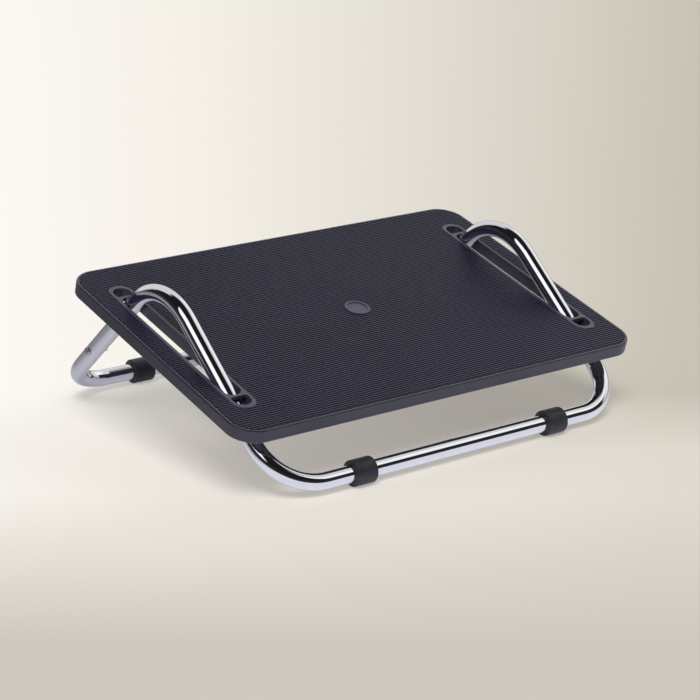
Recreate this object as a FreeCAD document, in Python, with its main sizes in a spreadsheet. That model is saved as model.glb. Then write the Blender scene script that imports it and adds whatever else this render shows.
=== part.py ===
"""Tilting footrest: a ribbed platform that rides on two A-shaped tube arches.

Millimetres and degrees. X runs across the footrest, Y from front to rear, Z up.
The origin is on the floor, under the middle of the tube frame.
"""
import FreeCAD, Part
import math
import os
import Sketcher
from FreeCAD import Placement, Rotation, Vector

doc = FreeCAD.newDocument("Footrest")
sheet = doc.addObject("Spreadsheet::Sheet", "Sizes")

# Driving sizes
SIZES = {
    # Tube frame
    "tube_diameter": 16.0,
    "tube_wall": 1.2,
    "arch_half_spacing": 199.0,
    "leg_angle": 40.7,
    "web_distance": 92.2,
    "apex_radius": 65.0,
    "bar_bend_radius": 48.0,
    # Joints of the legs
    "joint_below_web": 20.2,
    "swage_length": 4.0,
    "screw_inset": 8.0,
    "spigot_reach": 17.0,
    "spigot_clearance": 0.05,
    "screw_diameter": 4.0,
    "screw_clearance": 0.2,
    "screw_head_diameter": 8.2,
    "screw_head_height": 2.6,
    "screw_head_rounding": 2.2,
    "nut_diameter": 6.6,
    "nut_height": 4.4,
    "nut_rounding": 1.4,
    "nut_cap_wall": 1.2,
    "thread_clearance": 0.05,
    # Rubber sleeves under the bars
    "sleeve_diameter": 24.0,
    "sleeve_length": 22.0,
    "sleeve_half_spacing": 112.0,
    "sleeve_rounding": 1.2,
    # Platform board
    "board_side_margin": 31.0,
    "board_depth": 297.0,
    "board_thickness": 12.0,
    "board_corner_radius": 25.0,
    "board_rounding": 1.5,
    "rim_width": 2.2,
    "recess_depth": 2.0,
    "tilt": 15.0,
    # Moulded underside of the board
    "board_wall": 2.5,
    "deck_thickness": 3.0,
    "underside_rib_thickness": 2.0,
    "underside_rib_pitch": 40.0,
    "underside_rib_setback": 1.0,
    "collar_wall": 2.2,
    "boss_wall": 2.5,
    # Ribbed mat
    "mat_gap": 0.8,
    "mat_thickness": 2.4,
    "rib_height": 1.0,
    "rib_pitch": 3.0,
    "groove_width": 1.3,
    # Slot bezels
    "slot_width": 17.6,
    "slot_end_margin": 35.5,
    "liner_wall": 1.6,
    "liner_setback": 1.2,
    "flange_end_width": 5.0,
    "flange_side_width": 3.2,
    "flange_proud": 1.0,
    "flange_rounding": 0.8,
    "insert_clearance": 0.1,
    "end_hole_length": 14.5,
    "end_corner_radius": 2.0,
    "web_width": 3.0,
    "saddle_radius": 8.0,
    "web_nose_drop": 2.0,
    "contact_gap": 0.35,
    # Centre plug
    "plug_diameter": 25.0,
    "plug_rim_width": 2.6,
    "plug_proud": 1.4,
    "plug_dish_depth": 1.0,
    "plug_rounding": 0.6,
    "plug_stem_diameter": 16.0,
    "plug_stem_length": 6.0,
    # Overrun of every cut past the face that it leaves
    "overrun": 5.0,
}

for row, (alias, number) in enumerate(SIZES.items(), start=1):
    sheet.set(f"A{row}", alias)
    sheet.set(f"B{row}", str(number))
    sheet.setAlias(f"B{row}", alias)
doc.recompute()


class Term:
    """A size with its number and the expression that reads it from the sheet."""

    def __init__(self, number, text):
        self.number = number
        self.text = text

    def __add__(self, other):
        return Term(self.number + other.number, f"({self.text} + {other.text})")

    def __sub__(self, other):
        return Term(self.number - other.number, f"({self.text} - {other.text})")

    def __neg__(self):
        return Term(-self.number, f"(-1 * {self.text})")

    def __mul__(self, other):
        if isinstance(other, Term):
            return Term(self.number * other.number, f"({self.text} * {other.text})")
        return Term(self.number * other, f"({self.text} * {other})")

    __rmul__ = __mul__

    def __truediv__(self, other):
        if isinstance(other, Term):
            return Term(self.number / other.number, f"({self.text} / {other.text})")
        return Term(self.number / other, f"({self.text} / {other})")


def size(alias):
    return Term(SIZES[alias], f"Sizes.{alias}")


def sine(angle):
    return Term(math.sin(math.radians(angle.number)), f"sin({angle.text})")


def cosine(angle):
    return Term(math.cos(math.radians(angle.number)), f"cos({angle.text})")


def tangent(angle):
    return Term(math.tan(math.radians(angle.number)), f"tan({angle.text})")


ZERO = Term(0.0, "0")
HALF_TURN = Term(180.0, "180")

tube_diameter = size("tube_diameter")
tube_radius = tube_diameter / 2
tube_bore = tube_radius - size("tube_wall")
slope = size("leg_angle")
tilt = size("tilt")
overrun = size("overrun")
arch_x = size("arch_half_spacing")
bar_z = size("sleeve_diameter") / 2
board_width = 2 * (arch_x + size("board_side_margin"))
board_depth = size("board_depth")

# Along the slot: board edge, flange, end hole, web
slot_length = board_depth - 2 * (size("slot_end_margin") + size("flange_end_width"))
web_half_spacing = slot_length / 2 - size("end_hole_length") - size("web_width") / 2

# The webs of the slots lie on the outer sides of the legs, the front one a set distance up from its bar
web_reach = tube_radius + size("web_width") / 2 + size("contact_gap")
web_mid_y = -(web_half_spacing * sine(tilt) / tangent(slope))
front_web_y = web_mid_y - web_half_spacing * cosine(tilt)
bar_y = size("web_distance") * cosine(slope) - web_reach * sine(slope) - front_web_y

# Distances up each leg from its bar: the joint's seam, the screw, the end of the spigot
joint_distance = size("web_distance") - size("joint_below_web")
screw_distance = joint_distance + size("screw_inset")
spigot_end = screw_distance + size("spigot_reach")

# The two legs of an arch would meet at this height over the bars if they ran on straight
vertex_rise = bar_y * tangent(slope)
apex_centre_rise = vertex_rise - size("apex_radius") / cosine(slope)


def leg_point(distance):
    """Y and height over the bar of the point at a distance up the rear leg's axis."""
    return bar_y - distance * cosine(slope), distance * sine(slope)


# The frame sets the platform's place
web_top_z = bar_z + vertex_rise + web_reach / cosine(slope)
web_mid_z = web_top_z - web_half_spacing * cosine(tilt) * tangent(slope)
platform_y = web_mid_y - size("web_nose_drop") * sine(tilt)
platform_z = web_mid_z + size("web_nose_drop") * cosine(tilt)

# Heights in the platform's own frame, where zero is the top of the board's rim
recess_floor = -size("recess_depth")
board_bottom = -size("board_thickness")
mat_top = recess_floor + size("mat_thickness")
flange_top = size("flange_proud")
deck_bottom = recess_floor - size("deck_thickness")
cavity_depth = deck_bottom - board_bottom
recess_width = board_width - 2 * size("rim_width")
recess_length = board_depth - 2 * size("rim_width")
recess_corner = size("board_corner_radius") - size("rim_width")
mat_width = recess_width - 2 * size("mat_gap")
mat_length = recess_length - 2 * size("mat_gap")
flange_width = size("slot_width") + 2 * size("flange_side_width")
flange_length = slot_length + 2 * size("flange_end_width")
liner_width = size("slot_width") + 2 * size("liner_wall")
liner_length = slot_length + 2 * size("liner_wall")
hole_width = liner_width + 2 * size("insert_clearance")
hole_length = liner_length + 2 * size("insert_clearance")
socket_radius = size("plug_stem_diameter") / 2 + size("insert_clearance")


def bind(thing, name, term):
    thing.setExpression(name, term.text)


def new_body(label, x=ZERO, y=ZERO, z=ZERO, axis=Vector(1, 0, 0), angle=ZERO):
    """Body at a place of its own, turned about one axis."""
    body = doc.addObject("PartDesign::Body", label)
    body.Label = label
    body.Placement = Placement(Vector(x.number, y.number, z.number), Rotation(axis, angle.number))
    for name, term in (("x", x), ("y", y), ("z", z)):
        bind(body, f"Placement.Base.{name}", term)
    if angle is not ZERO:
        bind(body, "Placement.Rotation.Angle", angle)
    return body


def plane(body, role):
    return [item for item in body.Origin.OriginFeatures if item.Role == role][0]


def new_sketch(body, name, role, across=ZERO, out=ZERO):
    """Sketch on an origin plane, moved along its own first axis and along its normal."""
    sketch = body.newObject("Sketcher::SketchObject", name)
    sketch.AttachmentSupport = [(plane(body, role), "")]
    sketch.MapMode = "FlatFace"
    if across is not ZERO:
        bind(sketch, "AttachmentOffset.Base.x", across)
    if out is not ZERO:
        bind(sketch, "AttachmentOffset.Base.z", out)
    return sketch


def hold(sketch, kind, references, term):
    """Dimension of a sketch, driven by the sheet."""
    index = sketch.addConstraint(Sketcher.Constraint(kind, *references, term.number))
    bind(sketch, f"Constraints[{index}]", term)


def pin(sketch, geometry, point, x, y):
    """Hold one point of a curve at x, y."""
    for kind, axis, term in (("DistanceX", -2, x), ("DistanceY", -1, y)):
        if term is ZERO:
            sketch.addConstraint(Sketcher.Constraint("PointOnObject", geometry, point, axis))
        else:
            hold(sketch, kind, (-1, 1, geometry, point), term)


def flat(x, y):
    return Vector(x.number, y.number, 0)


def circle(sketch, x, y, radius):
    index = sketch.addGeometry(Part.Circle(flat(x, y), Vector(0, 0, 1), radius.number))
    pin(sketch, index, 3, x, y)
    hold(sketch, "Radius", (index,), radius)


def ring(sketch, x, y, outer, inner):
    circle(sketch, x, y, outer)
    circle(sketch, x, y, inner)


def outline(sketch, points):
    """Closed outline of straight edges."""
    first = None
    for place, point in enumerate(points):
        following = points[(place + 1) % len(points)]
        index = sketch.addGeometry(Part.LineSegment(flat(*point), flat(*following)))
        if first is None:
            first = index
        else:
            sketch.addConstraint(Sketcher.Constraint("Coincident", index - 1, 2, index, 1))
    sketch.addConstraint(Sketcher.Constraint("Coincident", index, 2, first, 1))
    for place, (x, y) in enumerate(points):
        pin(sketch, first + place, 1, x, y)


def arc(sketch, x, y, radius, start, end):
    """Arc about x, y between two angles in degrees."""
    whole = Part.Circle(flat(x, y), Vector(0, 0, 1), radius.number)
    return sketch.addGeometry(Part.ArcOfCircle(whole, math.radians(start), math.radians(end)))


def join(sketch, first, first_end, second, second_end):
    sketch.addConstraint(Sketcher.Constraint("Tangent", first, first_end, second, second_end))


def rounded_rectangle(sketch, width, length, radius):
    """Rectangle about the origin with round corners."""
    right = width / 2
    top = length / 2
    inner_x = right - radius
    inner_y = top - radius
    arcs = []
    for sign_x, sign_y, start in ((1, -1, 270), (1, 1, 0), (-1, 1, 90), (-1, -1, 180)):
        arcs.append(arc(sketch, inner_x * sign_x, inner_y * sign_y, radius, start, start + 90))
    ends = (
        (right, -inner_y, right, inner_y, "Vertical"),
        (inner_x, top, -inner_x, top, "Horizontal"),
        (-right, inner_y, -right, -inner_y, "Vertical"),
        (-inner_x, -top, inner_x, -top, "Horizontal"),
    )
    for place, (x0, y0, x1, y1, direction) in enumerate(ends):
        line = sketch.addGeometry(Part.LineSegment(flat(x0, y0), flat(x1, y1)))
        join(sketch, arcs[place], 2, line, 1)
        join(sketch, line, 2, arcs[(place + 1) % 4], 1)
        sketch.addConstraint(Sketcher.Constraint(direction, line))
        if place:
            sketch.addConstraint(Sketcher.Constraint("Equal", arcs[0], arcs[place]))
    pin(sketch, arcs[1], 3, inner_x, inner_y)
    pin(sketch, arcs[3], 3, -inner_x, -inner_y)
    hold(sketch, "Radius", (arcs[0],), radius)


def stadium(sketch, x, width, length):
    """Slot along the sketch's second axis with full round ends."""
    radius = width / 2
    reach = (length - width) / 2
    top = arc(sketch, x, reach, radius, 0, 180)
    bottom = arc(sketch, x, -reach, radius, 180, 360)
    left = sketch.addGeometry(Part.LineSegment(flat(x - radius, reach), flat(x - radius, -reach)))
    right = sketch.addGeometry(Part.LineSegment(flat(x + radius, -reach), flat(x + radius, reach)))
    join(sketch, top, 2, left, 1)
    join(sketch, left, 2, bottom, 1)
    join(sketch, bottom, 2, right, 1)
    join(sketch, right, 2, top, 1)
    pin(sketch, top, 3, x, reach)
    pin(sketch, bottom, 3, x, -reach)
    hold(sketch, "Radius", (top,), radius)


def pad(body, sketch, length, symmetric=False, down=False):
    feature = body.newObject("PartDesign::Pad", sketch.Name + "_pad")
    feature.Profile = sketch
    bind(feature, "Length", length)
    if symmetric:
        feature.SideType = "Symmetric"
    feature.Reversed = down
    body.Tip = feature
    return feature


def pocket(body, sketch, length=None, symmetric=False):
    """Cut below the sketch, or right through both ways where no length is given."""
    before = body.Tip
    feature = body.newObject("PartDesign::Pocket", sketch.Name + "_cut")
    feature.Profile = sketch
    if symmetric or length is None:
        feature.SideType = "Symmetric"
    if length is None:
        feature.Type = "ThroughAll"
    else:
        bind(feature, "Length", length)
    body.Tip = feature
    doc.recompute()
    if not feature.Shape.Volume < before.Shape.Volume:
        raise RuntimeError(f"{feature.Name} removes nothing")
    return feature


def revolve(body, sketch, axis="V_Axis"):
    feature = body.newObject("PartDesign::Revolution", sketch.Name + "_turned")
    feature.Profile = sketch
    feature.ReferenceAxis = (sketch, [axis])
    feature.Angle = 360
    body.Tip = feature
    return feature


def sweep(body, profile, path):
    feature = body.newObject("PartDesign::AdditivePipe", profile.Name + "_swept")
    feature.Profile = profile
    feature.Spine = path
    body.Tip = feature
    return feature


def mirror(body, role, *features):
    feature = body.newObject("PartDesign::Mirrored", "mirrored_halves")
    feature.Originals = list(features)
    feature.MirrorPlane = (plane(body, role), [""])
    body.Tip = feature
    return feature


def round_edges(body, radius, wanted):
    """Fillet the edges of the last feature that pass the test."""
    doc.recompute()
    base = body.Tip
    names = [f"Edge{i}" for i, edge in enumerate(base.Shape.Edges, start=1) if wanted(edge)]
    feature = body.newObject("PartDesign::Fillet", "rounding")
    feature.Base = (base, names)
    bind(feature, "Radius", radius)
    body.Tip = feature
    return feature


def is_circle(edge, radius):
    curve = edge.Curve
    return isinstance(curve, Part.Circle) and math.isclose(curve.Radius, radius.number, rel_tol=1e-6)


def lies_at(edge, height):
    """Whether an edge is level, at a height in its body's own frame."""
    box = edge.BoundBox
    return all(math.isclose(z, height.number, abs_tol=1e-6) for z in (box.ZMin, box.ZMax))


# Side arches: round apex over the platform, two straight legs
def side_arch(label, x):
    body = new_body(label, x=x, z=bar_z)
    path = new_sketch(body, label + "_path", "YZ_Plane")
    radius = size("apex_radius")
    seam_y, seam_z = leg_point(joint_distance)
    bend_y = radius * sine(slope)
    bend_z = apex_centre_rise + radius * cosine(slope)
    bend = arc(path, ZERO, apex_centre_rise, radius, 90 - slope.number, 90)
    leg = path.addGeometry(Part.LineSegment(flat(bend_y, bend_z), flat(seam_y, seam_z)))
    pin(path, bend, 3, ZERO, apex_centre_rise)
    hold(path, "Radius", (bend,), radius)
    path.addConstraint(Sketcher.Constraint("PointOnObject", bend, 2, -2))
    join(path, bend, 1, leg, 1)
    pin(path, leg, 2, seam_y, seam_z)
    section = new_sketch(body, label + "_section", "XZ_Plane")
    ring(section, ZERO, apex_centre_rise + radius, tube_radius, tube_bore)
    half = sweep(body, section, path)
    mirror(body, "XZ_Plane", half)
    holes = new_sketch(body, label + "_screw_holes", "YZ_Plane")
    hole_y, hole_z = leg_point(screw_distance)
    for y in (hole_y, -hole_y):
        circle(holes, y, hole_z, size("screw_diameter") / 2 + size("screw_clearance"))
    pocket(body, holes)
    return body


# Floor bars: U-shaped, in the tilted plane of the legs, with necked ends that plug into the arches
def floor_bar(label, y, angle):
    body = new_body(label, y=y, z=bar_z, angle=angle)
    radius = size("bar_bend_radius")
    neck = joint_distance - size("swage_length")
    path = new_sketch(body, label + "_path", "XY_Plane")
    bar = path.addGeometry(Part.LineSegment(flat(ZERO, ZERO), flat(arch_x - radius, ZERO)))
    bend = arc(path, arch_x - radius, radius, radius, 270, 360)
    leg = path.addGeometry(Part.LineSegment(flat(arch_x, radius), flat(arch_x, neck)))
    pin(path, bar, 1, ZERO, ZERO)
    path.addConstraint(Sketcher.Constraint("Horizontal", bar))
    join(path, bar, 2, bend, 1)
    join(path, bend, 2, leg, 1)
    path.addConstraint(Sketcher.Constraint("Vertical", leg))
    hold(path, "Radius", (bend,), radius)
    pin(path, leg, 2, arch_x, neck)
    section = new_sketch(body, label + "_section", "YZ_Plane")
    ring(section, ZERO, ZERO, tube_radius, tube_bore)
    half = sweep(body, section, path)
    spigot_outer = tube_bore - size("spigot_clearance")
    spigot_inner = spigot_outer - size("tube_wall")
    profile = new_sketch(body, label + "_spigot", "XY_Plane", across=arch_x)
    outline(profile, (
        (tube_bore, neck),
        (tube_radius, neck),
        (tube_radius, joint_distance),
        (spigot_outer, joint_distance),
        (spigot_outer, spigot_end),
        (spigot_inner, spigot_end),
        (spigot_inner, joint_distance),
    ))
    spigot = revolve(body, profile)
    mirror(body, "YZ_Plane", half, spigot)
    holes = new_sketch(body, label + "_screw_holes", "YZ_Plane")
    circle(holes, screw_distance, ZERO, size("screw_diameter") / 2 + size("screw_clearance"))
    pocket(body, holes)
    return body


# Rubber sleeves that keep the bars off the floor
def sleeve(label, x, y):
    body = new_body(label, x=x, y=y, z=bar_z)
    section = new_sketch(body, label + "_section", "YZ_Plane")
    outer = size("sleeve_diameter") / 2
    ring(section, ZERO, ZERO, outer, tube_radius)
    pad(body, section, size("sleeve_length"), symmetric=True)
    round_edges(body, size("sleeve_rounding"), lambda edge: is_circle(edge, outer))
    return body


def leg_screw_place(side, end):
    """Place on a leg's axis where its screw crosses, with the head turned outwards."""
    y, rise = leg_point(screw_distance)
    return {
        "x": arch_x * side,
        "y": y * end,
        "z": bar_z + rise,
        "axis": Vector(0, 0, 1),
        "angle": HALF_TURN if side < 0 else ZERO,
    }


# Round-headed screw along X, head on the tube's outer side
def leg_screw(label, side, end):
    body = new_body(label, **leg_screw_place(side, end))
    shank = size("screw_diameter") / 2
    head = size("screw_head_diameter") / 2
    tip = -(tube_radius + size("nut_height") - size("nut_cap_wall"))
    profile = new_sketch(body, label + "_profile", "XZ_Plane")
    outline(profile, (
        (tip, ZERO),
        (tip, shank),
        (tube_radius, shank),
        (tube_radius, head),
        (tube_radius + size("screw_head_height"), head),
        (tube_radius + size("screw_head_height"), ZERO),
    ))
    revolve(body, profile, "H_Axis")
    crown = tube_radius + size("screw_head_height")
    round_edges(body, size("screw_head_rounding"), lambda edge: is_circle(edge, head)
                and math.isclose(edge.Curve.Center.x, crown.number, abs_tol=1e-6))
    return body


# Closed round nut on the tube's inner side
def leg_nut(label, side, end):
    body = new_body(label, **leg_screw_place(side, end))
    bore = size("screw_diameter") / 2 + size("thread_clearance")
    outer = size("nut_diameter") / 2
    seat = -tube_radius
    cap = -(tube_radius + size("nut_height"))
    bore_end = cap + size("nut_cap_wall") - size("thread_clearance")
    profile = new_sketch(body, label + "_profile", "XZ_Plane")
    outline(profile, (
        (seat, bore),
        (seat, outer),
        (cap, outer),
        (cap, ZERO),
        (bore_end, ZERO),
        (bore_end, bore),
    ))
    revolve(body, profile, "H_Axis")
    round_edges(body, size("nut_rounding"), lambda edge: is_circle(edge, outer)
                and math.isclose(edge.Curve.Center.x, cap.number, abs_tol=1e-6))
    return body


def fastener_set(label, make):
    """The same small piece at all four legs, as one node."""
    places = [(side, end) for end in (-1, 1) for side in (-1, 1)]
    members = [make(f"{label}_{number}", *place) for number, place in enumerate(places, start=1)]
    group = doc.addObject("Part::Compound", label)
    group.Label = label
    group.Links = members
    return group


def platform_body(label, x=ZERO):
    """Body that tilts with the platform."""
    return new_body(label, x=x, y=platform_y, z=platform_z, angle=tilt)


def underside_ribs(body, name, span, across, direction):
    """Parallel ribs under the deck, one padded and the rest its copies, along X (direction 0) or Y (1)."""
    reach = across.number / 2 - SIZES["board_corner_radius"]
    count = 2 * int(reach // SIZES["underside_rib_pitch"]) + 1
    first = -(size("underside_rib_pitch") * (count - 1) / 2)
    half = size("underside_rib_thickness") / 2
    end = span / 2
    sketch = new_sketch(body, name, "XY_Plane", out=deck_bottom)
    corners = ((-end, first - half), (end, first - half), (end, first + half), (-end, first + half))
    outline(sketch, [corner[::-1] for corner in corners] if direction else corners)
    rib = pad(body, sketch, cavity_depth - size("underside_rib_setback"), down=True)
    doc.recompute()
    pattern = body.newObject("PartDesign::LinearPattern", name + "_row")
    pattern.Originals = [rib]
    pattern.Direction = (plane(body, "YZ_Plane" if direction else "XZ_Plane"), [""])
    pattern.Reversed = not direction
    pattern.Occurrences = count
    bind(pattern, "Length", size("underside_rib_pitch") * (count - 1))
    body.Tip = pattern


# Moulded board: mat recess above, skirt and crossed ribs below, collars round the slots, plug's socket
def platform_board():
    body = platform_body("platform_board")
    edge = new_sketch(body, "board_outline", "XY_Plane")
    rounded_rectangle(edge, board_width, board_depth, size("board_corner_radius"))
    pad(body, edge, size("board_thickness"), down=True)
    round_edges(body, size("board_rounding"), lambda line: lies_at(line, ZERO))
    wall = 2 * size("board_wall")
    cavity = new_sketch(body, "underside_cavity", "XY_Plane", out=deck_bottom)
    rounded_rectangle(cavity, board_width - wall, board_depth - wall,
                      size("board_corner_radius") - size("board_wall"))
    pocket(body, cavity, cavity_depth + overrun)
    underside_ribs(body, "cross_ribs", board_width - size("board_wall"), board_depth - wall, 0)
    underside_ribs(body, "depth_ribs", board_depth - size("board_wall"), board_width - wall, 1)
    collars = new_sketch(body, "slot_collars", "XY_Plane", out=deck_bottom)
    for x in (-arch_x, arch_x):
        stadium(collars, x, hole_width + 2 * size("collar_wall"), hole_length + 2 * size("collar_wall"))
    circle(collars, ZERO, ZERO, socket_radius + size("boss_wall"))
    pad(body, collars, cavity_depth, down=True)
    recess = new_sketch(body, "mat_recess", "XY_Plane")
    rounded_rectangle(recess, recess_width, recess_length, recess_corner)
    pocket(body, recess, size("recess_depth"))
    slots = new_sketch(body, "slot_cuts", "XY_Plane")
    for x in (-arch_x, arch_x):
        stadium(slots, x, hole_width, hole_length)
    pocket(body, slots)
    socket = new_sketch(body, "plug_socket", "XY_Plane")
    circle(socket, ZERO, ZERO, socket_radius)
    pocket(body, socket, size("recess_depth") + size("plug_stem_length") + size("insert_clearance"))
    return body


# Mat with fine ribs across its full width, cut out round the bezels and the plug
def ribbed_mat():
    body = platform_body("ribbed_mat")
    plan = new_sketch(body, "mat_outline", "XY_Plane", out=recess_floor)
    rounded_rectangle(plan, mat_width, mat_length, recess_corner - size("mat_gap"))
    gap = 2 * size("insert_clearance")
    for x in (-arch_x, arch_x):
        stadium(plan, x, flange_width + gap, flange_length + gap)
    circle(plan, ZERO, ZERO, size("plug_diameter") / 2 + size("insert_clearance"))
    pad(body, plan, size("mat_thickness"))
    doc.recompute()
    count = int(mat_length.number // SIZES["rib_pitch"])
    start = -(size("rib_pitch") * (count - 1) / 2)
    groove = new_sketch(body, "first_groove", "YZ_Plane")
    half = size("groove_width") / 2
    floor = mat_top - size("rib_height")
    roof = mat_top + overrun
    outline(groove, (
        (start - half, floor),
        (start + half, floor),
        (start + half, roof),
        (start - half, roof),
    ))
    cut = pocket(body, groove)
    pattern = body.newObject("PartDesign::LinearPattern", "grooves")
    pattern.Originals = [cut]
    pattern.Direction = (plane(body, "XZ_Plane"), [""])
    pattern.Reversed = True
    pattern.Occurrences = count
    bind(pattern, "Length", size("rib_pitch") * (count - 1))
    body.Tip = pattern
    return body


def slot_windows(sketch):
    """The slot's opening in three parts: the middle one ends in saddles that take the legs' round sides."""
    half = size("slot_width") / 2
    corner = size("end_corner_radius")
    web = size("web_width") / 2
    inner = web_half_spacing - web
    outer = web_half_spacing + web
    end = slot_length / 2 - half
    rounded_rectangle(sketch, size("slot_width"), 2 * inner, size("saddle_radius"))
    for turn in (1, -1):
        # Once round the end window: full round end, two sides, two corners, web face
        cap = arc(sketch, ZERO, end * turn, half, 90 - 90 * turn, 270 - 90 * turn)
        ends = ((half * turn, end * turn), (-(half * turn), end * turn))
        corner_x = (half - corner) * turn
        corner_y = (outer + corner) * turn
        first_turn = 270 - 90 * turn
        start = sketch.addGeometry(Part.LineSegment(flat(*ends[1]), flat(ends[1][0], corner_y)))
        near = arc(sketch, -corner_x, corner_y, corner, first_turn, first_turn + 90)
        face_ends = (flat(-corner_x, outer * turn), flat(corner_x, outer * turn))
        face = sketch.addGeometry(Part.LineSegment(*face_ends))
        far = arc(sketch, corner_x, corner_y, corner, first_turn + 90, first_turn + 180)
        close = sketch.addGeometry(Part.LineSegment(flat(ends[0][0], corner_y), flat(*ends[0])))
        chain = [cap, start, near, face, far, close]
        for first, second in zip(chain, chain[1:] + chain[:1]):
            join(sketch, first, 2, second, 1)
        sketch.addConstraint(Sketcher.Constraint("Vertical", start))
        sketch.addConstraint(Sketcher.Constraint("Horizontal", face))
        sketch.addConstraint(Sketcher.Constraint("Equal", near, far))
        pin(sketch, cap, 3, ZERO, end * turn)
        hold(sketch, "Radius", (cap,), half)
        hold(sketch, "Radius", (near,), corner)
        hold(sketch, "DistanceY", (-1, 1, near, 2), outer * turn)


def under_web(sketch, turn):
    """Space under a web and its saddle, which leaves the web a half-round nose."""
    y = web_half_spacing * turn
    half = size("web_width") / 2
    inner = y - (half + size("saddle_radius")) * turn
    outer = y + (half + size("end_corner_radius")) * turn
    left, right = (inner, outer) if turn > 0 else (outer, inner)
    drop = -size("web_nose_drop")
    floor = board_bottom - overrun
    nose = arc(sketch, y, drop, half, 180, 360)
    deep = ((right, drop), (right, floor), (left, floor), (left, drop))
    corners = ((y + half, drop), *deep, (y - half, drop))
    lines = [sketch.addGeometry(Part.LineSegment(flat(*first), flat(*second)))
             for first, second in zip(corners, corners[1:])]
    chain = [nose] + lines
    for first, second in zip(chain, chain[1:] + chain[:1]):
        sketch.addConstraint(Sketcher.Constraint("Coincident", first, 2, second, 1))
    pin(sketch, nose, 3, y, drop)
    hold(sketch, "Radius", (nose,), half)
    for line, point in zip(lines, corners):
        if line is not lines[0]:
            pin(sketch, line, 1, *point)
    sketch.addConstraint(Sketcher.Constraint("Horizontal", lines[0]))
    sketch.addConstraint(Sketcher.Constraint("Horizontal", lines[-1]))


# Grey slot lining with a flange on the mat side and two webs that lie on the arch's legs
def slot_bezel(label, x):
    body = platform_body(label, x)
    flange = new_sketch(body, label + "_flange", "XY_Plane", out=recess_floor)
    stadium(flange, ZERO, flange_width, flange_length)
    pad(body, flange, size("recess_depth") + flange_top)
    round_edges(body, size("flange_rounding"), lambda line: lies_at(line, flange_top))
    liner = new_sketch(body, label + "_liner", "XY_Plane", out=recess_floor)
    stadium(liner, ZERO, liner_width, liner_length)
    pad(body, liner, size("board_thickness") - size("recess_depth") - size("liner_setback"), down=True)
    windows = new_sketch(body, label + "_windows", "XY_Plane")
    slot_windows(windows)
    pocket(body, windows)
    under = new_sketch(body, label + "_under_webs", "YZ_Plane")
    for turn in (-1, 1):
        under_web(under, turn)
    pocket(body, under, size("slot_width"), symmetric=True)
    return body


# Blank round cap with a raised rim in the middle of the mat
def centre_plug():
    body = platform_body("centre_plug")
    outer = size("plug_diameter") / 2
    stem = size("plug_stem_diameter") / 2
    dish = outer - size("plug_rim_width")
    crown = size("plug_proud")
    foot = recess_floor - size("plug_stem_length")
    profile = new_sketch(body, "plug_profile", "XZ_Plane")
    outline(profile, (
        (ZERO, foot),
        (stem, foot),
        (stem, recess_floor),
        (outer, recess_floor),
        (outer, crown),
        (dish, crown),
        (dish, crown - size("plug_dish_depth")),
        (ZERO, crown - size("plug_dish_depth")),
    ))
    revolve(body, profile)
    round_edges(body, size("plug_rounding"), lambda line: lies_at(line, crown))
    return body


nodes = [
    side_arch("side_arch_left", -arch_x),
    side_arch("side_arch_right", arch_x),
    floor_bar("floor_bar_front", -bar_y, slope),
    floor_bar("floor_bar_rear", bar_y, HALF_TURN - slope),
    platform_board(),
    ribbed_mat(),
    slot_bezel("slot_bezel_left", -arch_x),
    slot_bezel("slot_bezel_right", arch_x),
    centre_plug(),
    fastener_set("joint_screws", leg_screw),
    fastener_set("joint_nuts", leg_nut),
]
for end, y in (("front", -bar_y), ("rear", bar_y)):
    for side, x in (("left", -size("sleeve_half_spacing")), ("right", size("sleeve_half_spacing"))):
        nodes.append(sleeve(f"sleeve_{end}_{side}", x, y))

doc.recompute()

for item in doc.Objects:
    if "Invalid" in item.State or "Error" in item.State:
        raise RuntimeError(f"{item.Name} failed: {item.State}")
for node in nodes:
    if node.Shape.isNull() or not node.Shape.isValid() or not node.Shape.Solids:
        raise RuntimeError(f"{node.Label} has no sound shape")

os.makedirs("parts", exist_ok=True)
for node in nodes:
    node.Shape.exportStep(f"parts/{node.Label}.step")
    box = node.Shape.BoundBox
    print(f"{node.Label}: {len(node.Shape.Solids)} solid, {node.Shape.Volume / 1000:.2f} cm3, "
          f"x {box.XMin:.1f} to {box.XMax:.1f}, y {box.YMin:.1f} to {box.YMax:.1f}, "
          f"z {box.ZMin:.1f} to {box.ZMax:.1f}")
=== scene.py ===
"""Looks of the tilting footrest: materials, floor, light and camera. Metres, in the CAD's frame."""
import math

import bpy
from mathutils import Matrix, Vector

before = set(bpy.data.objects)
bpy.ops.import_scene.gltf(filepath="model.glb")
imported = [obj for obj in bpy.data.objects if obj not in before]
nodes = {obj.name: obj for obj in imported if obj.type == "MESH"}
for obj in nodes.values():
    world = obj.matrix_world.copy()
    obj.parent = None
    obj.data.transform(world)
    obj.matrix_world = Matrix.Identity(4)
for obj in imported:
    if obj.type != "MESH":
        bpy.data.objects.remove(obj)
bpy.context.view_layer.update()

scene = bpy.context.scene


# Linear colours. A pair is the dark and the light end of a mottled surface.

CHROME = (0.80, 0.805, 0.865), (0.85, 0.855, 0.905)
STEEL = (0.42, 0.41, 0.42), (0.66, 0.65, 0.67)
BOARD = (0.019, 0.018, 0.028), (0.025, 0.024, 0.036)
# Board edge colour: wear with a painted highlight
BOARD_EDGE_WEAR_AND_HIGHLIGHT = (0.36, 0.36, 0.44)
MAT = (0.014, 0.0135, 0.032), (0.020, 0.0195, 0.042)
MAT_DUST = (0.040, 0.039, 0.062)
# Rib edge colour: a painted highlight
MAT_EDGE_HIGHLIGHT = (0.080, 0.078, 0.110)
TRIM = (0.044, 0.042, 0.070), (0.056, 0.054, 0.086)
# Trim edge colour: a painted highlight, grey where the edges would catch light
TRIM_EDGE_HIGHLIGHT = (0.12, 0.118, 0.14)
SLEEVE = (0.021, 0.0205, 0.026)
SLEEVE_SCUFF = (0.066, 0.064, 0.070)
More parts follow.
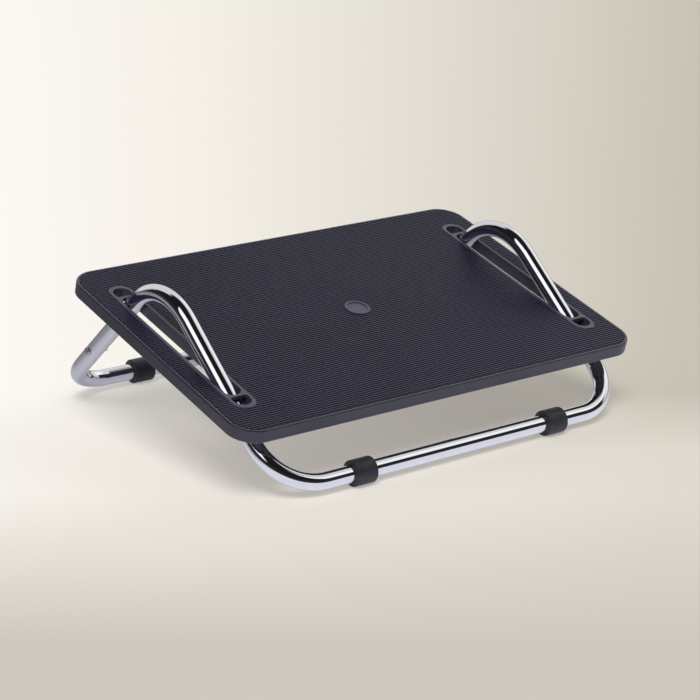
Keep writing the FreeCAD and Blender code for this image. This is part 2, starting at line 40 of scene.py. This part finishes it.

# Floor, as the camera sees it: cream at the left, beige at the right, with a painted pool of light
# in front of the footrest, and darker again towards the camera
CREAM, SAND, BEIGE = (0.965, 0.940, 0.895), (0.90, 0.86, 0.79), (0.570, 0.530, 0.455)
POOL_OF_LIGHT = (0.900, 0.855, 0.780)
NEAR = (0.620, 0.570, 0.510)
# Floor, as the metal shows it: the photographed chrome reflects a neutral one
# Its far end is painted shade: darker towards the back and the left
MIRRORED_NEAR, MIRRORED_FAR = (0.82, 0.82, 0.89), (0.21, 0.21, 0.225)
# Wall that the camera sees beyond the floor's edge
WALL = (0.720, 0.680, 0.600)


# Sizes and strengths

# Most values of a noise texture lie in this span
NOISE_SPAN = 0.3, 0.7
# Cosine between the bevelled and the true normal, from a flat to a fully marked edge, where painted
# edge highlight and edge wear are strongest
EDGE_MARK_SPAN = 0.97, 0.80

FLOOR_REACH = 9.0
# Where the floor's colours change: by the tangent of the angle across the camera's view, or in
# metres along the view (depth, away from the camera) and across it (aside, to the right)
ACROSS_SPAN = -0.16, 0.16
SAND_STOP = 0.30
# Depths and share of the painted pool of light in front of the footrest
POOL_DEPTHS, POOL_SHARE = (0.05, -0.12), 0.5
NEAR_DEPTHS = -0.24, -0.54
# Painted shade in reflections of the floor: depths, and distances aside with their share
DIM_DEPTHS = -0.04, 0.35
DIM_ASIDE, DIM_ASIDE_SHARE = (-0.12, -0.42), 0.9
# Share of the floor's colour that it gives off itself, which softens the shadow
SELF_LIT = 0.45

KEY_DIRECTION = (-0.33, -0.44, 1.0)
KEY_SPREAD = math.radians(32)
KEY_STRENGTH = 2.45

# Studio panels in degrees: azimuth from the front round by the right, half width, lower edge,
# upper edge and softness of the edges, followed by the strength
PANELS = [
    (135, 66, 3, 60, 4, 0.75),
    (100, 27, 17, 44, 4, 1.06),
    (-78, 31, 29, 61, 2, 1.20),
    (58, 17, 33, 53, 2, 1.05),
]
ROOM_TINT = (1.0, 0.99, 0.975)
# Strength of the dark room round the panels, between two sines of the elevation
ROOM_HEIGHTS, ROOM_LEVELS = (0.05, 0.50), (0.034, 0.012)
# Keeps the division by the flat length from failing straight above and below
SHORTEST = 0.0001

AZIMUTH, ELEVATION, ROLL = (math.radians(angle) for angle in (-37.461, 17.333, 0.343))
CAMERA_PLACE = (-1.23524, -1.62938, 0.69528)
# Distance from the camera's foot to the origin, from where the floor's colours fan out
CAMERA_DISTANCE = 2.04
# Focal length fitted in pixels of the photograph, which is 700 wide
SENSOR_WIDTH = 36.0
FOCAL_LENGTH = 2234.4 / 700 * SENSOR_WIDTH
NEAREST_SEEN = 0.05


# Node helpers

class Nodes:
    """Short calls for building one node tree."""

    def __init__(self, tree):
        self.tree = tree
        self.place = self.add("ShaderNodeTexCoord").outputs["Object"]

    def add(self, kind, **values):
        """New node with its properties set."""
        node = self.tree.nodes.new(kind)
        for key, value in values.items():
            setattr(node, key, value)
        return node

    def link(self, source, target):
        """Wire from an output to an input."""
        self.tree.links.new(source, target)

    def feed(self, socket, value):
        """Number, colour or another node's output into an input."""
        if isinstance(value, (int, float)):
            socket.default_value = value
        elif isinstance(value, tuple):
            socket.default_value = (*value, 1.0)
        else:
            self.link(value, socket)

    def scaled(self, x, y, z):
        """Object coordinates stretched along each axis."""
        node = self.add("ShaderNodeMapping")
        node.inputs["Scale"].default_value = (x, y, z)
        self.link(self.place, node.inputs["Vector"])
        return node.outputs["Vector"]

    def noise(self, scale, detail, roughness, source=None):
        """Noise texture at the object's coordinates, or at others."""
        node = self.add("ShaderNodeTexNoise")
        node.inputs["Scale"].default_value = scale
        node.inputs["Detail"].default_value = detail
        node.inputs["Roughness"].default_value = roughness
        self.link(source or self.place, node.inputs["Vector"])
        return node.outputs["Fac"]

    def remap(self, source, span, target=(0.0, 1.0)):
        """Straight ramp from one span of values to another, clamped at both ends."""
        node = self.add("ShaderNodeMapRange")
        node.inputs["From Min"].default_value, node.inputs["From Max"].default_value = span
        node.inputs["To Min"].default_value, node.inputs["To Max"].default_value = target
        self.link(source, node.inputs["Value"])
        return node.outputs["Result"]

    def spread(self, noise, target):
        """Noise spread over a span of values."""
        return self.remap(noise, NOISE_SPAN, target)

    def ramp(self, source, *stops):
        """Colour ramp through stops of position and colour."""
        node = self.add("ShaderNodeValToRGB")
        points = node.color_ramp.elements
        while len(points) < len(stops):
            points.new(0.5)
        for point, (position, colour) in zip(points, stops):
            point.position = position
            point.color = (*colour, 1.0)
        self.link(source, node.inputs["Fac"])
        return node.outputs["Color"]

    def mottle(self, noise, colours):
        """Noise spread over a pair of colours."""
        return self.ramp(noise, *zip(NOISE_SPAN, colours))

    def math(self, operation, first, second):
        """One operation on two values."""
        node = self.add("ShaderNodeMath", operation=operation)
        self.feed(node.inputs[0], first)
        self.feed(node.inputs[1], second)
        return node.outputs["Value"]

    def times(self, first, second):
        """Product of two values."""
        return self.math("MULTIPLY", first, second)

    def most(self, first, second):
        """Larger of two values."""
        return self.math("MAXIMUM", first, second)

    def mix(self, factor, first, second):
        """Colour between two others. The node keeps its colour sockets behind those for numbers."""
        node = self.add("ShaderNodeMix", data_type="RGBA")
        for slot, value in ((0, factor), (6, first), (7, second)):
            self.feed(node.inputs[slot], value)
        return node.outputs[2]

    def mix_shaders(self, factor, first, second):
        """Blend of two shaders."""
        node = self.add("ShaderNodeMixShader")
        self.feed(node.inputs["Fac"], factor)
        self.link(first, node.inputs[1])
        self.link(second, node.inputs[2])
        return node.outputs["Shader"]

    def bump(self, height, strength, distance):
        """Normal roughened by a height."""
        node = self.add("ShaderNodeBump")
        node.inputs["Strength"].default_value = strength
        node.inputs["Distance"].default_value = distance
        self.link(height, node.inputs["Height"])
        return node.outputs["Normal"]

    def edge_wear_and_highlight(self, radius):
        """One on outer edges, zero elsewhere: the mask for painted edge highlights and for edge
        wear.
        """
        bevelled = self.add("ShaderNodeBevel", samples=4)
        bevelled.inputs["Radius"].default_value = radius
        plain = self.add("ShaderNodeNewGeometry")
        cosine = self.add("ShaderNodeVectorMath", operation="DOT_PRODUCT")
        self.link(bevelled.outputs["Normal"], cosine.inputs[0])
        self.link(plain.outputs["Normal"], cosine.inputs[1])
        return self.remap(cosine.outputs["Value"], EDGE_MARK_SPAN)


class Finish(Nodes):
    """Node tree of one material, with its shader."""

    def __init__(self, name):
        self.material = bpy.data.materials.new(name)
        self.material.use_nodes = True
        super().__init__(self.material.node_tree)
        self.shader = self.tree.nodes["Principled BSDF"]

    def set(self, **values):
        """Values of the shader's inputs, with underscores for spaces."""
        for name, value in values.items():
            self.feed(self.shader.inputs[name.replace("_", " ")], value)
        return self.material


# Materials

def chrome():
    """Bright plated tube: faint haze, drawing lines and polishing marks."""
    n = Finish("chrome_plate")
    haze = n.noise(scale=35.0, detail=4.0, roughness=0.6)
    marks = n.noise(scale=900.0, detail=2.0, roughness=0.5, source=n.scaled(0.25, 1.0, 1.0))
    rough = n.math("ADD", n.remap(haze, (0.3, 0.75), (0.020, 0.055)),
                   n.remap(marks, (0.55, 0.8), (0.0, 0.025)))
    waves = n.noise(scale=60.0, detail=2.0, roughness=0.5)
    return n.set(Base_Color=n.mottle(haze, CHROME), Metallic=1.0, Roughness=rough,
                 Normal=n.bump(waves, strength=0.03, distance=0.0006))


def fastener():
    """Plated steel with a dull grain."""
    n = Finish("plated_fastener")
    grain = n.noise(scale=1400.0, detail=3.0, roughness=0.6)
    return n.set(Base_Color=n.mottle(grain, STEEL), Metallic=1.0,
                 Roughness=n.spread(grain, (0.16, 0.30)),
                 Normal=n.bump(grain, strength=0.15, distance=0.0002))


def board_plastic():
    """Dark grey moulding with a fine eroded grain, its edges slightly polished and lighter, partly
    worn and partly a painted highlight.
    """
    n = Finish("board_moulding")
    grain = n.noise(scale=1600.0, detail=3.0, roughness=0.65)
    base = n.mottle(n.noise(scale=9.0, detail=4.0, roughness=0.6), BOARD)
    worn_and_highlit = n.edge_wear_and_highlight(radius=0.0008)
    rough = n.math("SUBTRACT", n.spread(grain, (0.27, 0.40)), n.times(worn_and_highlit, 0.10))
    # Edges lighter: partly wear, partly a painted highlight
    return n.set(Base_Color=n.mix(n.times(worn_and_highlit, 0.90), base, BOARD_EDGE_WEAR_AND_HIGHLIGHT), Roughness=rough,
                 Normal=n.bump(grain, strength=0.20, distance=0.00016),
                 IOR=1.70, Specular_Tint=(0.84, 0.83, 1.0))


def mat_rubber():
    """Blue-grey ribbed rubber with a fine grain, dusty patches and a painted highlight along the
    rib edges.
    """
    n = Finish("ribbed_rubber")
    grain = n.noise(scale=1100.0, detail=4.0, roughness=0.7)
    base = n.mottle(n.noise(scale=7.0, detail=5.0, roughness=0.6), MAT)
    dust = n.noise(scale=60.0, detail=5.0, roughness=0.7, source=n.scaled(1.0, 0.35, 0.35))
    dusty = n.mix(n.remap(dust, (0.62, 0.8), (0.0, 0.35)), base, MAT_DUST)
    # Painted highlight along the rib edges
    colour = n.mix(n.times(n.edge_wear_and_highlight(radius=0.00035), 0.6), dusty, MAT_EDGE_HIGHLIGHT)
    return n.set(Base_Color=colour, Roughness=n.spread(grain, (0.40, 0.54)),
                 Normal=n.bump(grain, strength=0.25, distance=0.00020),
                 Specular_Tint=(0.80, 0.79, 1.0))


def trim_plastic():
    """Dark satin moulding round the slots and of the centre cap, grey where it catches light."""
    n = Finish("trim_moulding")
    grain = n.noise(scale=1800.0, detail=3.0, roughness=0.6)
    base = n.mottle(n.noise(scale=30.0, detail=3.0, roughness=0.6), TRIM)
    # Painted highlight: grey on the edges
    colour = n.mix(n.times(n.edge_wear_and_highlight(radius=0.0006), 0.45), base, TRIM_EDGE_HIGHLIGHT)
    return n.set(Base_Color=colour, Roughness=n.spread(grain, (0.26, 0.36)),
                 Normal=n.bump(grain, strength=0.12, distance=0.00012),
                 Specular_Tint=(0.90, 0.89, 1.0))


def sleeve_rubber():
    """Near-black matt rubber with moulding grain and pale scuffs."""
    n = Finish("sleeve_rubber")
    grain = n.noise(scale=1500.0, detail=4.0, roughness=0.7)
    scuff = n.noise(scale=240.0, detail=4.0, roughness=0.65, source=n.scaled(0.4, 1.0, 1.0))
    colour = n.mix(n.remap(scuff, (0.52, 0.75), (0.0, 0.6)), SLEEVE, SLEEVE_SCUFF)
    return n.set(Base_Color=colour, Roughness=n.spread(grain, (0.40, 0.58)),
                 Normal=n.bump(grain, strength=0.3, distance=0.00022),
                 Specular_Tint=(0.86, 0.85, 1.0))


def dress():
    """One finish for each CAD node, found by the start of its name."""
    tube, fixing, board, mat = chrome(), fastener(), board_plastic(), mat_rubber()
    trim, sleeve = trim_plastic(), sleeve_rubber()
    finishes = {"side_arch": tube, "floor_bar": tube, "joint": fixing, "platform_board": board,
                "ribbed_mat": mat, "slot_bezel": trim, "centre_plug": trim, "sleeve": sleeve}
    for name, node in nodes.items():
        finish = next(material for start, material in finishes.items() if name.startswith(start))
        node.data.materials.clear()
        node.data.materials.append(finish)


# Floor

def floor_paper():
    """Paper that fades across and along the camera's view, with a painted pool of light in front of
    the footrest, and another colour, darkened by painted shade, in reflections.
    """
    n = Finish("floor_paper")
    turned = n.add("ShaderNodeMapping")
    turned.inputs["Rotation"].default_value[2] = -AZIMUTH
    n.link(n.place, turned.inputs["Vector"])
    split = n.add("ShaderNodeSeparateXYZ")
    n.link(turned.outputs["Vector"], split.inputs["Vector"])
    aside, depth = split.outputs["X"], split.outputs["Y"]

    fan = n.math("DIVIDE", aside, n.math("ADD", depth, CAMERA_DISTANCE))
    across = n.ramp(n.remap(fan, ACROSS_SPAN), (0.0, CREAM), (SAND_STOP, SAND), (1.0, BEIGE))
    # Painted pool of light in front of the footrest
    light_pooled = n.mix(n.remap(depth, POOL_DEPTHS, (0.0, POOL_SHARE)), across, POOL_OF_LIGHT)
    paper = n.mix(n.remap(depth, NEAR_DEPTHS), light_pooled, NEAR)

    # Painted shade on the floor that the metal shows, darker towards the back and the left
    dimmed = n.most(n.remap(depth, DIM_DEPTHS), n.remap(aside, DIM_ASIDE, (0.0, DIM_ASIDE_SHARE)))
    mirrored = n.ramp(dimmed, (0.0, MIRRORED_NEAR), (1.0, MIRRORED_FAR))
    ray = n.add("ShaderNodeLightPath")
    glossy = ray.outputs["Is Glossy Ray"]
    colour = n.mix(glossy, paper, mirrored)
    tooth = n.noise(scale=700.0, detail=3.0, roughness=0.6)
    material = n.set(Base_Color=colour, Roughness=0.85,
                     Normal=n.bump(tooth, strength=0.05, distance=0.0002))

    glow = n.add("ShaderNodeEmission")
    n.link(colour, glow.inputs["Color"])
    by_way_of_object = n.most(glossy, ray.outputs["Is Transmission Ray"])
    seen = n.most(ray.outputs["Is Camera Ray"], by_way_of_object)
    lit = n.mix_shaders(n.times(seen, SELF_LIT), n.shader.outputs["BSDF"],
                        glow.outputs["Emission"])
    # Clear from below, so that the footrest's underside can be looked at
    below = n.add("ShaderNodeNewGeometry").outputs["Backfacing"]
    clear = n.add("ShaderNodeBsdfTransparent").outputs["BSDF"]
    n.link(n.mix_shaders(below, lit, clear), n.tree.nodes["Material Output"].inputs["Surface"])
    return material


def floor():
    """Square plane under the sleeves."""
    reach = FLOOR_REACH
    corners = [(-reach, -reach, 0), (reach, -reach, 0), (reach, reach, 0), (-reach, reach, 0)]
    mesh = bpy.data.meshes.new("floor")
    mesh.from_pydata(corners, [], [(0, 1, 2, 3)])
    mesh.materials.append(floor_paper())
    plane = bpy.data.objects.new("floor", mesh)
    scene.collection.objects.link(plane)


# Light: a soft key from above the camera, and a dark room with panels that the chrome shows

def key_light():
    """Wide soft sun, left out of reflections, where the panels take its place."""
    sun = bpy.data.lights.new("key", "SUN")
    sun.angle = KEY_SPREAD
    sun.energy = KEY_STRENGTH
    key = bpy.data.objects.new("key", sun)
    key.rotation_euler = Vector(KEY_DIRECTION).to_track_quat("Z", "Y").to_euler()
    key.visible_glossy = False
    scene.collection.objects.link(key)


def panel_mask(n, direction, flat, azimuth, half, bottom, top, edge):
    """One inside a panel and zero outside it. Angles in radians; flat is the direction's length
    seen from above."""
    x, y, z = direction
    facing = n.math("ADD", n.times(x, math.sin(azimuth)), n.times(y, -math.cos(azimuth)))
    cosine = n.math("DIVIDE", facing, flat)
    beside = n.remap(cosine, (math.cos(half + edge), math.cos(half - edge)))
    above = n.remap(z, (math.sin(bottom - edge), math.sin(bottom + edge)))
    below = n.remap(z, (math.sin(top + edge), math.sin(top - edge)))
    return n.times(beside, n.times(above, below))


def studio():
    """World of soft panels. The camera itself sees a plain pale wall instead."""
    world = bpy.data.worlds.new("studio")
    world.use_nodes = True
    scene.world = world
    n = Nodes(world.node_tree)
    split = n.add("ShaderNodeSeparateXYZ")
    n.link(n.tree.nodes["Texture Coordinate"].outputs["Generated"], split.inputs["Vector"])
    x, y, z = direction = [split.outputs[name] for name in "XYZ"]
    square = n.math("ADD", n.times(x, x), n.times(y, y))
    flat = n.most(n.math("POWER", square, 0.5), SHORTEST)

    strength = n.remap(z, ROOM_HEIGHTS, ROOM_LEVELS)
    for *angles, panel_strength in PANELS:
        mask = panel_mask(n, direction, flat, *(math.radians(angle) for angle in angles))
        strength = n.most(strength, n.times(mask, panel_strength))
    room = n.tree.nodes["Background"]
    n.feed(room.inputs["Color"], ROOM_TINT)
    n.link(strength, room.inputs["Strength"])

    wall = n.add("ShaderNodeBackground")
    n.feed(wall.inputs["Color"], WALL)
    to_camera = n.add("ShaderNodeLightPath").outputs["Is Camera Ray"]
    shown = n.mix_shaders(to_camera, room.outputs["Background"], wall.outputs["Background"])
    n.link(shown, n.tree.nodes["World Output"].inputs["Surface"])


# Camera

def camera():
    """Camera fitted to the photograph."""
    back = Vector((math.sin(AZIMUTH) * math.cos(ELEVATION),
                   -math.cos(AZIMUTH) * math.cos(ELEVATION), math.sin(ELEVATION)))
    level = Vector((0, 0, 1)).cross(back).normalized()
    rise = back.cross(level)
    right = math.cos(ROLL) * level + math.sin(ROLL) * rise
    upward = -math.sin(ROLL) * level + math.cos(ROLL) * rise
    lens = bpy.data.cameras.new("camera")
    lens.sensor_width = SENSOR_WIDTH
    lens.lens = FOCAL_LENGTH
    lens.clip_start = NEAREST_SEEN
    view = bpy.data.objects.new("camera", lens)
    turn = Matrix((right, upward, back)).transposed().to_4x4()
    view.matrix_world = Matrix.Translation(CAMERA_PLACE) @ turn
    scene.collection.objects.link(view)
    scene.camera = view


dress()
floor()
key_light()
studio()
camera()
scene.view_settings.view_transform = "Standard"
